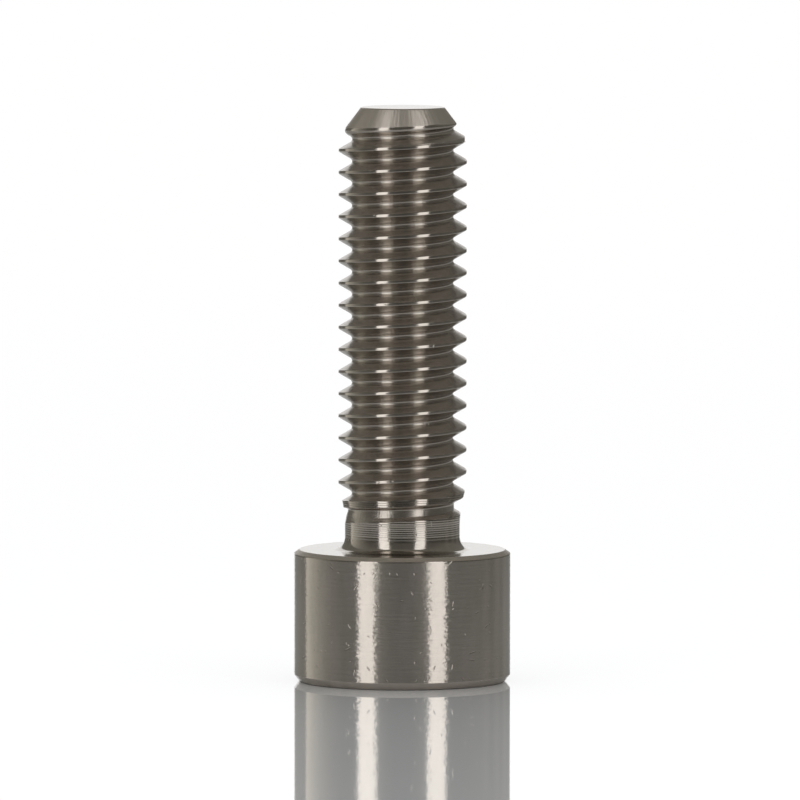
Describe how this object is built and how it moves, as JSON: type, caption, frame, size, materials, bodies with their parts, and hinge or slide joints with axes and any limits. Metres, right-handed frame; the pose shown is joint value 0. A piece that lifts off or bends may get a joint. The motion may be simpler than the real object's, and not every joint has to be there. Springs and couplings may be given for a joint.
{
  "type": "socket head cap screw",
  "caption": "Socket head cap screw with a cylindrical head, hexagon socket, undercut neck and right-hand metric thread with a coned tip.",
  "frame": {"origin": "centre of the socket face, on which the screw stands", "axes": "+Z along the screw's axis from the head to the tip; the picture looks along +Y with +X to the right"},
  "size_m": [0.0098, 0.0098, 0.0259],
  "materials": {
    "titanium": "turned"
  },
  "bodies": {
    "root": {"cap_screw": "titanium"}
  },
  "joints": []
}
